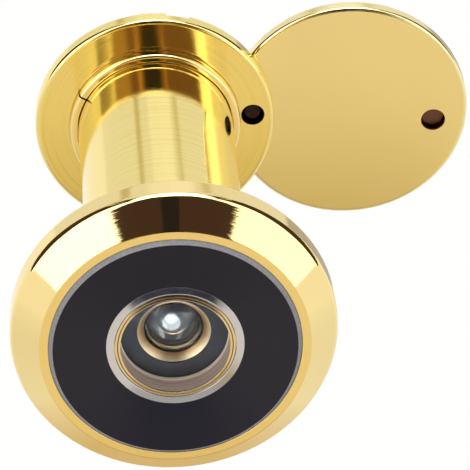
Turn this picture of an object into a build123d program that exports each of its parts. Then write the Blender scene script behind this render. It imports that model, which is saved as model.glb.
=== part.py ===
from build123d import *
from math import cos, radians, sin, sqrt
import os

# Door peephole, in millimetres.
# The barrel axis is Y. The outdoor lens looks along -Y and the eyepiece is at the +Y end.
# The origin is the centre of the door's outdoor face, where the bezel seats.
# Radii are given from the outdoor lens outwards, and places along the axis from the origin.

# How the pieces fit
seat_clearance = 0.02
slip_clearance = 0.05
screw_clearance = 0.05
pivot_clearance = 0.05

# Outdoor lens opening
lip_radius = 4.68
lip_overlap = 0.2
lip_depth = 1.83
hub_wall = 0.47
hub_sink = 0.42
hub_rounding = 0.12

# Black glazed ring round the lens
face_ring_width = 5.6
face_ring_thickness = 1.6
face_ring_proud = 0.3
face_ring_outer_chamfer = 0.36
face_ring_dish = 0.53
face_ring_land_width = 0.68
face_ring_land_rise = 0.08

# Bezel
flat_ring_width = 0.76
bevel_width = 2.4
bevel_depth = 2.2
bezel_rim_length = 2.3
bezel_front_rounding = 0.1
bezel_shoulder_rounding = 0.3
bezel_back_rounding = 0.35

# Outdoor tube with its screw thread
pilot_length = 2.5
tube_wall = 1.05
tube_end_chamfer = 0.5
closing_travel = 2.0
tube_end_gap = 0.7
pilot_chamfer = 0.2

# Outdoor lens stack
objective_edge = 0.6
objective_front_radius = 40.0
objective_back_radius = 25.0
objective_back_rim = 0.6
washer_thickness = 0.15
washer_opening = 3.15
cone_opening = 2.5
cone_depth = 0.57
spacer_relief_depth = 0.99
second_lens_margin = 0.98
second_lens_front_radius = 4.5
second_lens_dome_gap = 0.05
second_lens_edge = 0.85
second_lens_back_radius = 2.6
second_lens_back_opening = 2.3
middle_spacer_length = 2.7
middle_spacer_opening = 2.9
third_lens_thickness = 2.0
third_lens_surface_radius = 14.0
third_lens_opening = 4.0
lens_ring_length = 2.0
lens_ring_opening = 3.6
key_slot_width = 0.9
key_slot_depth = 0.7

# Indoor sleeve and flange
sleeve_wall = 1.0
door_grip = 32.0
sleeve_gap = 2.5
sleeve_end_chamfer = 0.25
flange_width = 3.8
flange_thickness = 1.5
flange_door_chamfer = 0.25
flange_room_rounding = 0.2
eye_opening = 3.6
eye_countersink = 0.9
coin_slot_width = 2.1
coin_slot_depth = 0.5
coin_slot_angle = 80.5

# Loose split collar round the sleeve
collar_wall = 0.68
collar_length = 0.95
collar_seat_depth = 0.1
collar_rounding = 0.18
collar_split_width = 0.18
collar_split_angle = 154.0

# Eyepiece
eyepiece_edge = 1.5
eyepiece_back_opening = 3.5
eyepiece_back_radius = 10.0
eyepiece_front_opening = 4.3
eyepiece_front_radius = 12.0
stop_length = 1.96
stop_web = 0.4
stop_bore = 4.5
stop_opening = 2.6
eyepiece_ring_length = 1.28
eyepiece_ring_opening = 4.0

# Privacy cover and its pivot
cover_gap = 0.15
cover_thickness = 1.35
cover_rounding = 0.3
cover_open_angle = -4.0
pivot_angle = 6.6
pivot_recess_radius = 1.06
pivot_recess_depth = 0.9
pivot_collar_gap = 0.04
rivet_radius = 0.7
rivet_tail_radius = 1.0
rivet_tail_height = 0.4
rivet_head_radius = 1.7
rivet_head_height = 0.8
spring_washer_thickness = 0.15
spring_washer_rise = 0.12
spring_washer_radius = 1.5

# Finger stud on the cover
stud_place = 7.82
stud_line_angle = -2.4
stud_shank_radius = 1.08
stud_recess = 0.7
stud_waist_radius = 1.3
stud_head_radius = 1.9
stud_waist_height = 0.7
stud_head_height = 1.5
stud_head_rounding = 0.5

# Radii that follow, from the lens outwards
lens_radius = lip_radius + lip_overlap
lens_bore = lens_radius + seat_clearance
hub_radius = lip_radius + hub_wall
face_ring_hole = hub_radius + slip_clearance
face_ring_radius = face_ring_hole + face_ring_width
recess_radius = face_ring_radius + seat_clearance
bevel_inner_radius = recess_radius + flat_ring_width
bezel_radius = bevel_inner_radius + bevel_width + seat_clearance
tube_radius = lens_bore + tube_wall
sleeve_bore = tube_radius + screw_clearance
barrel_radius = sleeve_bore + sleeve_wall
flange_radius = barrel_radius + flange_width
collar_bore = barrel_radius + slip_clearance
collar_radius = collar_bore + collar_wall
collar_seat_radius = collar_radius + slip_clearance
eyepiece_radius = sleeve_bore - seat_clearance
pivot_radius = collar_seat_radius + pivot_collar_gap + pivot_recess_radius
cover_radius = flange_radius
cover_pivot_bore = rivet_radius + pivot_clearance

# Places along the axis that follow, from the outdoor face inwards
flat_ring_place = -(bezel_rim_length + bevel_depth)
face_place = flat_ring_place - face_ring_proud
recess_floor = face_place + face_ring_thickness
hub_front = face_place + hub_sink
lip_back = hub_front + lip_depth
objective_front = lip_back + seat_clearance
objective_back = objective_front + objective_edge
washer_back = objective_back + seat_clearance + washer_thickness
spacer_front = washer_back + seat_clearance
cone_end = spacer_front + cone_depth
sleeve_front = pilot_length + sleeve_gap
flange_door_face = door_grip
flange_room_face = door_grip + flange_thickness
collar_back = flange_door_face + collar_seat_depth - slip_clearance
eyepiece_back = flange_door_face - seat_clearance
eyepiece_front = eyepiece_back - eyepiece_edge
stop_back = eyepiece_front - seat_clearance
stop_front = stop_back - stop_length
eyepiece_ring_back = stop_front - seat_clearance
eyepiece_ring_front = eyepiece_ring_back - eyepiece_ring_length
tube_end = eyepiece_ring_front - closing_travel - tube_end_gap
cover_door_face = flange_room_face + cover_gap
cover_room_face = cover_door_face + cover_thickness

# Where the cover's pivot and centre are, seen along the axis
pivot_x = pivot_radius * cos(radians(pivot_angle))
pivot_z = pivot_radius * sin(radians(pivot_angle))
cover_x = pivot_x + pivot_radius * cos(radians(cover_open_angle))
cover_z = pivot_z + pivot_radius * sin(radians(cover_open_angle))
stud_x = cover_x + stud_place * cos(radians(cover_open_angle + stud_line_angle))
stud_z = cover_z + stud_place * sin(radians(cover_open_angle + stud_line_angle))

# How near two sizes must be to be taken as the same
same = 0.001

os.makedirs("parts", exist_ok=True)


def save(builder, label):
    """Label a finished piece and write it."""
    builder.part.label = label
    export_step(builder.part, f"parts/{label}.step")


def sag(surface_radius, half_width):
    """Depth of a spherical surface between its centre and this half width."""
    return surface_radius - sqrt(surface_radius**2 - half_width**2)


def cross_plane(place):
    """Plane across the barrel at this place, with X to the right and Z up, facing outdoors."""
    return Plane.XZ.offset(-place)


def rings(builder, radius, place, centre=(0, 0)):
    """Circular edges of this radius at this place, round the given centre."""
    def matches(edge):
        if edge.geom_type != GeomType.CIRCLE:
            return False
        middle = edge.arc_center
        return (abs(edge.radius - radius) < same
                and abs(middle.Y - place) < same
                and abs(middle.X - centre[0]) < same
                and abs(middle.Z - centre[1]) < same)
    return builder.edges().filter_by(matches)


def key_slots(place, outer_radius, inner_radius, depth):
    """Cut two opposite spanner slots across a ring, on the side that ends at this place."""
    slot_reach = outer_radius - inner_radius
    with BuildSketch(cross_plane(place)) as slots:
        with PolarLocations((outer_radius + inner_radius) / 2, 2):
            Rectangle(slot_reach * 2, key_slot_width)
    extrude(slots.sketch, amount=depth, mode=Mode.SUBTRACT)


# Outdoor housing: the bezel, the hub round the lens, the pilot and the threaded tube in one turned piece
with BuildPart() as outdoor_housing:
    with BuildSketch(Plane.XY):
        with BuildLine():
            Polyline(
                (lip_radius, hub_front),
                (hub_radius, hub_front),
                (hub_radius, recess_floor),
                (recess_radius, recess_floor),
                (recess_radius, flat_ring_place),
                (bevel_inner_radius, flat_ring_place),
                (bezel_radius, -bezel_rim_length),
                (bezel_radius, 0),
                (barrel_radius, 0),
                (barrel_radius, pilot_length - pilot_chamfer),
                (barrel_radius - pilot_chamfer, pilot_length),
                (tube_radius, pilot_length),
                (tube_radius, tube_end - tube_end_chamfer),
                (tube_radius - tube_end_chamfer, tube_end),
                (lens_bore, tube_end),
                (lens_bore, lip_back),
                (lip_radius, lip_back),
                close=True,
            )
        make_face()
    revolve(axis=Axis.Y)
    fillet(rings(outdoor_housing, hub_radius, hub_front), hub_rounding)
    fillet(rings(outdoor_housing, lip_radius, hub_front), hub_rounding)
    fillet(rings(outdoor_housing, bevel_inner_radius, flat_ring_place), bezel_front_rounding)
    fillet(rings(outdoor_housing, bezel_radius, -bezel_rim_length), bezel_shoulder_rounding)
    fillet(rings(outdoor_housing, bezel_radius, 0), bezel_back_rounding)
save(outdoor_housing, "outdoor_housing")

# Black glazed ring, set in the bezel and standing a little proud of it
# Its face is dished towards the lens and ends in a narrow ground land that rises to the hub
land_edge = face_place + face_ring_dish
with BuildPart() as face_ring:
    with BuildSketch(Plane.XY):
        with BuildLine():
            Polyline(
                (face_ring_hole + face_ring_land_width, land_edge),
                (face_ring_radius - face_ring_outer_chamfer, face_place),
                (face_ring_radius, face_place + face_ring_outer_chamfer),
                (face_ring_radius, recess_floor),
                (face_ring_hole, recess_floor),
                (face_ring_hole, land_edge - face_ring_land_rise),
                close=True,
            )
        make_face()
    revolve(axis=Axis.Y)
save(face_ring, "face_ring")

# Objective lens: a thin weak meniscus behind the lip, with a flat land where it bears on the lip
objective_dome = lip_radius - slip_clearance
objective_apex = objective_front - sag(objective_front_radius, objective_dome)
objective_hollow = lens_radius - objective_back_rim
objective_hollow_apex = objective_back - sag(objective_back_radius, objective_hollow)
with BuildPart() as objective_lens:
    with BuildSketch(Plane.XY):
        with BuildLine():
            ThreePointArc(
                (0, objective_apex),
                (objective_dome / 2, objective_apex + sag(objective_front_radius, objective_dome / 2)),
                (objective_dome, objective_front),
            )
            Polyline(
                (objective_dome, objective_front),
                (lens_radius, objective_front),
                (lens_radius, objective_back),
                (objective_hollow, objective_back),
            )
            ThreePointArc(
                (objective_hollow, objective_back),
                (objective_hollow / 2,
                 objective_hollow_apex + sag(objective_back_radius, objective_hollow / 2)),
                (0, objective_hollow_apex),
            )
            Line((0, objective_hollow_apex), (0, objective_apex))
        make_face()
    revolve(axis=Axis.Y)
save(objective_lens, "objective_lens")

# Blackened washer that masks the rim of the objective lens
with BuildPart() as aperture_washer:
    with BuildSketch(cross_plane(washer_back)):
        Circle(lens_radius)
        Circle(washer_opening, mode=Mode.SUBTRACT)
    extrude(amount=washer_thickness)
save(aperture_washer, "aperture_washer")

# Second lens: a steep dome towards the outdoors with a deep hollow behind
second_lens_radius = lens_radius - second_lens_margin
second_lens_seat = cone_end + seat_clearance
dome_apex = second_lens_seat + second_lens_dome_gap - sag(second_lens_front_radius, cone_opening)
dome_edge = dome_apex + sag(second_lens_front_radius, second_lens_radius)
second_lens_back = dome_edge + second_lens_edge
hollow_apex = second_lens_back - sag(second_lens_back_radius, second_lens_back_opening)
with BuildPart() as second_lens:
    with BuildSketch(Plane.XY):
        with BuildLine():
            ThreePointArc(
                (0, dome_apex),
                (second_lens_radius / 2, dome_apex + sag(second_lens_front_radius, second_lens_radius / 2)),
                (second_lens_radius, dome_edge),
            )
            Polyline(
                (second_lens_radius, dome_edge),
                (second_lens_radius, second_lens_back),
                (second_lens_back_opening, second_lens_back),
            )
            ThreePointArc(
                (second_lens_back_opening, second_lens_back),
                (second_lens_back_opening / 2,
                 hollow_apex + sag(second_lens_back_radius, second_lens_back_opening / 2)),
                (0, hollow_apex),
            )
            Line((0, hollow_apex), (0, dome_apex))
        make_face()
    revolve(axis=Axis.Y)
save(second_lens, "second_lens")

# Gilt spacer whose cone frames the dome of the second lens and whose bore centres it
spacer_bore = second_lens_radius + slip_clearance
with BuildPart() as front_spacer:
    with BuildSketch(Plane.XY):
        with BuildLine():
            Polyline(
                (washer_opening, spacer_front),
                (lens_radius, spacer_front),
                (lens_radius, second_lens_back),
                (spacer_bore, second_lens_back),
                (spacer_bore, cone_end + spacer_relief_depth),
                (cone_opening, cone_end),
                close=True,
            )
        make_face()
    revolve(axis=Axis.Y)
save(front_spacer, "front_spacer")

# Black spacer tube between the second and third lenses
middle_spacer_front = second_lens_back + seat_clearance
middle_spacer_back = middle_spacer_front + middle_spacer_length
with BuildPart() as middle_spacer:
    with BuildSketch(cross_plane(middle_spacer_back)):
        Circle(lens_radius)
        Circle(middle_spacer_opening, mode=Mode.SUBTRACT)
    extrude(amount=middle_spacer_length)
save(middle_spacer, "middle_spacer")

# Third lens, hollow on both sides
third_lens_front = middle_spacer_back + seat_clearance
third_lens_back = third_lens_front + third_lens_thickness
third_lens_sag = sag(third_lens_surface_radius, third_lens_opening)
third_lens_half_sag = sag(third_lens_surface_radius, third_lens_opening / 2)
with BuildPart() as third_lens:
    with BuildSketch(Plane.XY):
        with BuildLine():
            ThreePointArc(
                (0, third_lens_front + third_lens_sag),
                (third_lens_opening / 2, third_lens_front + third_lens_sag - third_lens_half_sag),
                (third_lens_opening, third_lens_front),
            )
            Polyline(
                (third_lens_opening, third_lens_front),
                (lens_radius, third_lens_front),
                (lens_radius, third_lens_back),
                (third_lens_opening, third_lens_back),
            )
            ThreePointArc(
                (third_lens_opening, third_lens_back),
                (third_lens_opening / 2, third_lens_back - third_lens_sag + third_lens_half_sag),
                (0, third_lens_back - third_lens_sag),
            )
            Line((0, third_lens_back - third_lens_sag), (0, third_lens_front + third_lens_sag))
        make_face()
    revolve(axis=Axis.Y)
save(third_lens, "third_lens")

# Ring screwed in behind the third lens, with two spanner slots
lens_ring_front = third_lens_back + seat_clearance
lens_ring_back = lens_ring_front + lens_ring_length
with BuildPart() as lens_retaining_ring:
    with BuildSketch(cross_plane(lens_ring_back)):
        Circle(lens_radius)
        Circle(lens_ring_opening, mode=Mode.SUBTRACT)
    extrude(amount=lens_ring_length)
    key_slots(lens_ring_back, lens_radius, lens_ring_opening, key_slot_depth)
save(lens_retaining_ring, "lens_retaining_ring")

# Loose split collar that centres the sleeve in the door, just in front of the flange
with BuildPart() as collar_ring:
    with BuildSketch(cross_plane(collar_back)):
        Circle(collar_radius)
        Circle(collar_bore, mode=Mode.SUBTRACT)
        with PolarLocations((collar_bore + collar_radius) / 2, 1, start_angle=collar_split_angle):
            Rectangle(collar_wall * 2, collar_split_width, mode=Mode.SUBTRACT)
    extrude(amount=collar_length)
    fillet(rings(collar_ring, collar_radius, collar_back - collar_length), collar_rounding)
save(collar_ring, "collar_ring")

# Indoor sleeve: the polished barrel and the flange in one turned piece
with BuildPart() as indoor_sleeve:
    with BuildSketch(Plane.XY):
        with BuildLine():
            Polyline(
                (sleeve_bore + sleeve_end_chamfer, sleeve_front),
                (barrel_radius - sleeve_end_chamfer, sleeve_front),
                (barrel_radius, sleeve_front + sleeve_end_chamfer),
                (barrel_radius, flange_door_face + collar_seat_depth),
                (collar_seat_radius, flange_door_face + collar_seat_depth),
                (collar_seat_radius, flange_door_face),
                (flange_radius - flange_door_chamfer, flange_door_face),
                (flange_radius, flange_door_face + flange_door_chamfer),
                (flange_radius, flange_room_face),
                (eye_opening + eye_countersink, flange_room_face),
                (eye_opening, flange_room_face - eye_countersink),
                (eye_opening, flange_door_face),
                (sleeve_bore, flange_door_face),
                (sleeve_bore, sleeve_front + sleeve_end_chamfer),
                close=True,
            )
        make_face()
    revolve(axis=Axis.Y)
    fillet(rings(indoor_sleeve, flange_radius, flange_room_face), flange_room_rounding)
    with BuildSketch(cross_plane(flange_room_face)):
        Rectangle(flange_radius * 3, coin_slot_width, rotation=coin_slot_angle)
    extrude(amount=coin_slot_depth, mode=Mode.SUBTRACT)
    with BuildSketch(cross_plane(flange_door_face + pivot_recess_depth)):
        with Locations((pivot_x, pivot_z)):
            Circle(pivot_recess_radius)
    extrude(amount=pivot_recess_depth, mode=Mode.SUBTRACT)
    with BuildSketch(cross_plane(flange_room_face)):
        with Locations((pivot_x, pivot_z)):
            Circle(rivet_radius + seat_clearance)
    extrude(amount=flange_thickness, mode=Mode.SUBTRACT)
save(indoor_sleeve, "indoor_sleeve")

# Eyepiece lens, seated against the inside of the flange
eyepiece_back_apex = eyepiece_back + sag(eyepiece_back_radius, eyepiece_back_opening)
eyepiece_front_apex = eyepiece_front - sag(eyepiece_front_radius, eyepiece_front_opening)
with BuildPart() as eyepiece_lens:
    with BuildSketch(Plane.XY):
        with BuildLine():
            ThreePointArc(
                (0, eyepiece_front_apex),
                (eyepiece_front_opening / 2,
                 eyepiece_front_apex + sag(eyepiece_front_radius, eyepiece_front_opening / 2)),
                (eyepiece_front_opening, eyepiece_front),
            )
            Polyline(
                (eyepiece_front_opening, eyepiece_front),
                (eyepiece_radius, eyepiece_front),
                (eyepiece_radius, eyepiece_back),
                (eyepiece_back_opening, eyepiece_back),
            )
            ThreePointArc(
                (eyepiece_back_opening, eyepiece_back),
                (eyepiece_back_opening / 2,
                 eyepiece_back_apex - sag(eyepiece_back_radius, eyepiece_back_opening / 2)),
                (0, eyepiece_back_apex),
            )
            Line((0, eyepiece_back_apex), (0, eyepiece_front_apex))
        make_face()
    revolve(axis=Axis.Y)
save(eyepiece_lens, "eyepiece_lens")

# Black cup with a small opening that keeps stray light off the eyepiece
with BuildPart() as field_stop:
    with BuildSketch(cross_plane(stop_back)):
        Circle(eyepiece_radius)
        Circle(stop_bore, mode=Mode.SUBTRACT)
    extrude(amount=stop_length)
    with BuildSketch(cross_plane(stop_front + stop_web)):
        Circle(eyepiece_radius)
        Circle(stop_opening, mode=Mode.SUBTRACT)
    extrude(amount=stop_web)
save(field_stop, "field_stop")

# Ring screwed in behind the eyepiece, with two spanner slots
with BuildPart() as eyepiece_retaining_ring:
    with BuildSketch(cross_plane(eyepiece_ring_back)):
        Circle(eyepiece_radius)
        Circle(eyepiece_ring_opening, mode=Mode.SUBTRACT)
    extrude(amount=eyepiece_ring_length)
    key_slots(eyepiece_ring_front + key_slot_depth, eyepiece_radius, eyepiece_ring_opening, key_slot_depth)
save(eyepiece_retaining_ring, "eyepiece_retaining_ring")

# Privacy cover, swung open round its pivot
with BuildPart() as privacy_cover:
    with BuildSketch(cross_plane(cover_room_face)):
        with Locations((cover_x, cover_z)):
            Circle(cover_radius)
        with Locations((pivot_x, pivot_z)):
            Circle(cover_pivot_bore, mode=Mode.SUBTRACT)
        with Locations((stud_x, stud_z)):
            Circle(stud_shank_radius + seat_clearance, mode=Mode.SUBTRACT)
    extrude(amount=cover_thickness)
    cover_centre = (cover_x, cover_z)
    fillet(rings(privacy_cover, cover_radius, cover_door_face, cover_centre), cover_rounding)
    fillet(rings(privacy_cover, cover_radius, cover_room_face, cover_centre), cover_rounding)
save(privacy_cover, "privacy_cover")

# Pivot rivet: tail peened in the flange's recess, shank through the cover, domed head on the room side
rivet_tail_back = flange_door_face + pivot_recess_depth - seat_clearance
washer_seat = cover_room_face + seat_clearance
rivet_head_back = washer_seat + spring_washer_thickness + spring_washer_rise + seat_clearance
head_dome_radius = (rivet_head_radius**2 + rivet_head_height**2) / (2 * rivet_head_height)
pivot_plane = Plane.XY.offset(pivot_z)
pivot_axis = Axis((pivot_x, 0, pivot_z), (0, 1, 0))
with BuildPart() as pivot_rivet:
    with BuildSketch(pivot_plane):
        with BuildLine():
            Polyline(
                (pivot_x, rivet_head_back + rivet_head_height),
                (pivot_x, rivet_tail_back - rivet_tail_height),
                (pivot_x + rivet_radius, rivet_tail_back - rivet_tail_height),
                (pivot_x + rivet_tail_radius, rivet_tail_back),
                (pivot_x + rivet_radius, rivet_tail_back),
                (pivot_x + rivet_radius, rivet_head_back),
                (pivot_x + rivet_head_radius, rivet_head_back),
            )
            RadiusArc(
                (pivot_x + rivet_head_radius, rivet_head_back),
                (pivot_x, rivet_head_back + rivet_head_height),
                -head_dome_radius,
            )
        make_face()
    revolve(axis=pivot_axis)
save(pivot_rivet, "pivot_rivet")

# Dished spring washer under the rivet's head, which holds the cover wherever it is left
washer_bore = rivet_radius + seat_clearance
with BuildPart() as pivot_spring_washer:
    with BuildSketch(pivot_plane):
        with BuildLine():
            Polyline(
                (pivot_x + washer_bore, washer_seat + spring_washer_rise),
                (pivot_x + spring_washer_radius, washer_seat),
                (pivot_x + spring_washer_radius, washer_seat + spring_washer_thickness),
                (pivot_x + washer_bore, washer_seat + spring_washer_rise + spring_washer_thickness),
                close=True,
            )
        make_face()
    revolve(axis=pivot_axis)
save(pivot_spring_washer, "pivot_spring_washer")

# Finger stud, its shank riveted in the cover and sunk below the door side
stud_base = cover_room_face + seat_clearance
stud_plane = Plane.XY.offset(stud_z)
stud_axis = Axis((stud_x, 0, stud_z), (0, 1, 0))
stud_waist_end = stud_base + stud_waist_height
stud_end = stud_waist_end + stud_head_height
with BuildPart() as finger_stud:
    with BuildSketch(stud_plane):
        with BuildLine():
            Polyline(
                (stud_x, cover_door_face + stud_recess),
                (stud_x + stud_shank_radius, cover_door_face + stud_recess),
                (stud_x + stud_shank_radius, stud_base),
                (stud_x + stud_waist_radius, stud_base),
                (stud_x + stud_waist_radius, stud_waist_end),
                (stud_x + stud_head_radius, stud_waist_end),
                (stud_x + stud_head_radius, stud_end),
                (stud_x, stud_end),
                close=True,
            )
        make_face()
    revolve(axis=stud_axis)
    fillet(rings(finger_stud, stud_head_radius, stud_end, (stud_x, stud_z)), stud_head_rounding)
save(finger_stud, "finger_stud")
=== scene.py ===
# %% [markdown]
# # A gilt door peephole
#
# This lesson dresses a door viewer: a turned brass bezel with a black glazed ring, a stack of small
# lenses, a polished barrel that screws into it, and a round cover that swings over the eyepiece.
# The engineering model is loaded first and never moved. Every surface made here lies on it.

import math

import bpy
import numpy as np
from mathutils import Matrix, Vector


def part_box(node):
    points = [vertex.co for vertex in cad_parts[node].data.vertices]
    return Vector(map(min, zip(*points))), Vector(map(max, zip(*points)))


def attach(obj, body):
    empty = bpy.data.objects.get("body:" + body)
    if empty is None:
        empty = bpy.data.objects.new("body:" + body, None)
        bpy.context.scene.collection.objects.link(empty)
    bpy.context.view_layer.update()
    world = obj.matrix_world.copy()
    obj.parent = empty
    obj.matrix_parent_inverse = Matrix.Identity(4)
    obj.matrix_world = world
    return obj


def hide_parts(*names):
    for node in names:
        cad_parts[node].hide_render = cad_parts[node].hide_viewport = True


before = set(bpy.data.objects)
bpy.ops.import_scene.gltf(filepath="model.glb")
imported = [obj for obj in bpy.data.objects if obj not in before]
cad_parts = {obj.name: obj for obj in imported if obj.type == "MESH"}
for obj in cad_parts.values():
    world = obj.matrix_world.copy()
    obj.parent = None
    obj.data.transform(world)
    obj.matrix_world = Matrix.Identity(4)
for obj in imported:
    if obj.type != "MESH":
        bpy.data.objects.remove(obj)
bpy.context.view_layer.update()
print("pieces of the model:", sorted(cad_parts))

# %% [markdown]
# ## Sizes
#
# The engineering model is in metres here, but a peephole is easier to think about in millimetres.
# So every size is a real size in millimetres, and one scale turns it into metres. A place is
# counted along the barrel from the door's outdoor face, with indoors positive. The sizes that
# several pieces share come first, and each of the others stands where it is needed.

# %% Sizes that several pieces share, in millimetres
MM = 0.001
BARREL_RADIUS, COLLAR_RADIUS = 7.0, 7.73
RECESS_FLOOR = -3.2
FACE_RING_HOLE, FACE_RING_RADIUS, FACE_RING_CHAMFER = 5.2, 10.8, 0.36
LAND_EDGE_RADIUS = 5.88
FLANGE_FRONT, FLANGE_RADIUS = 32.0, 10.8
COVER_FRONT, COVER_BACK = 33.65, 35.0
AXIS = (0.0, 0.0)
PIVOT = (8.82115, 1.02064)
COVER_CENTRE = (17.67952, 0.40120)
STUD = (25.45079, -0.47049)
print("barrel", 2 * BARREL_RADIUS, "mm, flange and cover", 2 * FLANGE_RADIUS, "mm across")

# %% [markdown]
# ## The camera
#
# The photograph looks down along the barrel from a long way off. A camera could be moved by hand
# until the picture fits, but ellipses fitted to the photograph's circles are surer. They give the
# direction, the distance, a long lens and a slight roll, and these are the whole camera.

# %% Camera at the photograph's viewing angle
CAMERA_AZIMUTH, CAMERA_ELEVATION, CAMERA_ROLL = -4.81, 32.28, 2.575
CAMERA_DISTANCE = 479.1
CAMERA_AIM = np.array([6.27, 15.0, -1.09])
SENSOR_WIDTH, LENS_LENGTH = 36.0, 416.9
NEAREST_SEEN, FARTHEST_SEEN = 0.01, 30.0


def camera_axes(azimuth, elevation, roll):
    """Right, up and backward directions of a camera. The backward direction comes from the two
    angles, the level right from the azimuth alone, and the roll turns right and up about backward."""
    a, e, r = np.radians([azimuth, elevation, roll])
    back = np.array([math.sin(a) * math.cos(e), -math.cos(a) * math.cos(e), math.sin(e)])
    level = np.array([math.cos(a), math.sin(a), 0.0])
    upright = np.cross(back, level)
    right = level * math.cos(r) + upright * math.sin(r)
    return right, np.cross(back, right), back


camera_data = bpy.data.cameras.new("photo_camera")
camera_data.sensor_width = SENSOR_WIDTH
camera_data.lens = LENS_LENGTH
camera_data.clip_start, camera_data.clip_end = NEAREST_SEEN, FARTHEST_SEEN
camera = bpy.data.objects.new("photo_camera", camera_data)
bpy.context.scene.collection.objects.link(camera)
bpy.context.scene.camera = camera
right, up, back = camera_axes(CAMERA_AZIMUTH, CAMERA_ELEVATION, CAMERA_ROLL)
place = (CAMERA_AIM + CAMERA_DISTANCE * back) * MM
pose = np.identity(4)
pose[:3, 0], pose[:3, 1], pose[:3, 2], pose[:3, 3] = right, up, back, place
camera.matrix_world = Matrix(pose.tolist())
print("camera stands at", place.round(4))

# %% [markdown]
# ## Outlines
#
# Nearly every piece of a door viewer is turned on a lathe, so one surface does most of the work:
# an outline of radius against place along the barrel, carried round the axis. The outline's
# corners are broken by small arcs, as a turner breaks them with a file, because it is those
# arcs that catch the light. A Bevel modifier could round them, but in the outline each corner
# has its own size, and a point just beyond each arc keeps the flat parts truly flat.

# %% Outline with broken corners
ARC_STEPS = 6
LARGEST_SHARE = 0.45
FLAT_GUARD, GUARD_SHARE = 0.08, 0.3


def broken_corner(before, corner, after, rounding):
    """Points round one corner. They run along a circle that touches both sides of the corner at
    the distance rounding / tan(half the corner's angle), with a guard point on each side."""
    into, out = before - corner, after - corner
    reach_in, reach_out = np.linalg.norm(into), np.linalg.norm(out)
    into, out = into / reach_in, out / reach_out
    half = math.acos(np.clip(into @ out, -1, 1)) / 2
    touch = min(rounding / math.tan(half), LARGEST_SHARE * reach_in, LARGEST_SHARE * reach_out)
    radius = touch * math.tan(half)
    middle = (into + out) / np.linalg.norm(into + out)
    centre = corner + middle * radius / math.sin(half)
    start, end = corner + into * touch - centre, corner + out * touch - centre
    share = np.linspace(0, 1, ARC_STEPS + 1)[:, None]
    span = math.pi - 2 * half
    arc = (np.sin((1 - share) * span) * start + np.sin(share * span) * end) / math.sin(span)
    guard_in = min(FLAT_GUARD, (reach_in - touch) * GUARD_SHARE)
    guard_out = min(FLAT_GUARD, (reach_out - touch) * GUARD_SHARE)
    return np.vstack([centre + start + into * guard_in, centre + arc, centre + end + out * guard_out])


def outline(corners, closed=True):
    """Outline from (radius, place, rounding) corners, in order. A corner with no rounding stays
    one sharp point, and on an open outline the two ends are kept as they are."""
    points = np.array([c[:2] for c in corners], float)
    count = len(points)
    pieces = []
    for i, (_, _, rounding) in enumerate(corners):
        at_end = not closed and i in (0, count - 1)
        if rounding == 0 or at_end:
            pieces.append(points[i][None])
        else:
            pieces.append(broken_corner(points[i - 1], points[i], points[(i + 1) % count], rounding))
    return np.vstack(pieces)


print("one broken corner has", ARC_STEPS + 3, "points")

# %% [markdown]
# ## From outline to mesh
#
# On the lathe the work goes round and the tool follows the outline. The mesh is made in the same
# way, as a grid with the outline in its rows and the turn in its columns. Blender's Screw
# modifier could do it, but with numpy the radius can also change with the angle, as a thread asks.

# %% Turn an outline round an axis
SEGMENTS, FINE_SEGMENTS, COARSE_SEGMENTS = 192, 256, 64
SMOOTH_ANGLE = 32.0


def smooth(mesh):
    """Smooth shading, but with a sharp edge wherever two faces meet at more than the angle."""
    mesh.shade_smooth()
    mesh.set_sharp_from_angle(angle=math.radians(SMOOTH_ANGLE))


def mesh_object(name, points, faces):
    """Mesh object at the origin from points in millimetres and a list of face index arrays.
    It is turned the right way out: the sum of v0 . (v1 x v2) over its triangles is its volume
    six times over, and a negative one means that the faces point inwards."""
    fans = [f[:, [0, k, k + 1]] for f in faces for k in range(1, f.shape[1] - 1)]
    first, second, third = points[np.concatenate(fans)].transpose(1, 0, 2)
    volume = np.einsum("ij,ij->i", first, np.cross(second, third)).sum()
    if volume < 0:
        faces = [f[:, ::-1] for f in faces]
    mesh = bpy.data.meshes.new(name)
    mesh.from_pydata((points * MM).tolist(), [], [row for f in faces for row in f.tolist()])
    smooth(mesh)
    made = bpy.data.objects.new(name, mesh)
    bpy.context.scene.collection.objects.link(made)
    print(f"{name}: {len(mesh.vertices)} points, {len(mesh.polygons)} faces")
    return made


def turned(name, profile, centre=AXIS, closed=True, relief=None, segments=SEGMENTS):
    """Surface of revolution about an axis parallel to Y. A point of the outline with radius r and
    place y goes to (cx + r cos t, y, cz + r sin t) for t all the way round. A closed outline
    joins end to start, and an open one starts and ends on the axis, where its points become poles.
    relief(radius, place, angle), if given, returns changed radii, as for a screw thread."""
    angles = np.linspace(0, 2 * math.pi, segments, endpoint=False)
    body = profile if closed else profile[1:-1]
    radius = np.repeat(body[:, :1], segments, 1)
    spot = np.repeat(body[:, 1:], segments, 1)
    angle = np.broadcast_to(angles, radius.shape)
    if relief is not None:
        radius = relief(radius, spot, angle)
    points = np.stack([centre[0] + radius * np.cos(angle), spot, centre[1] + radius * np.sin(angle)], -1)
    rows, columns = radius.shape
    index = np.arange(rows * columns).reshape(rows, columns)
    low = index if closed else index[:-1]
    high = np.roll(index, -1, 0) if closed else index[1:]
    quads = np.stack([low, np.roll(low, -1, 1), np.roll(high, -1, 1), high], -1).reshape(-1, 4)
    points = points.reshape(-1, 3)
    if closed:
        return mesh_object(name, points, [quads])
    poles = np.array([[centre[0], profile[0, 1], centre[1]], [centre[0], profile[-1, 1], centre[1]]])
    first, last = len(points), len(points) + 1
    start = np.stack([np.full(columns, first), np.roll(index[0], -1), index[0]], -1)
    end = np.stack([np.full(columns, last), index[-1], np.roll(index[-1], -1)], -1)
    return mesh_object(name, np.vstack([points, poles]), [quads, start, end])


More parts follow.
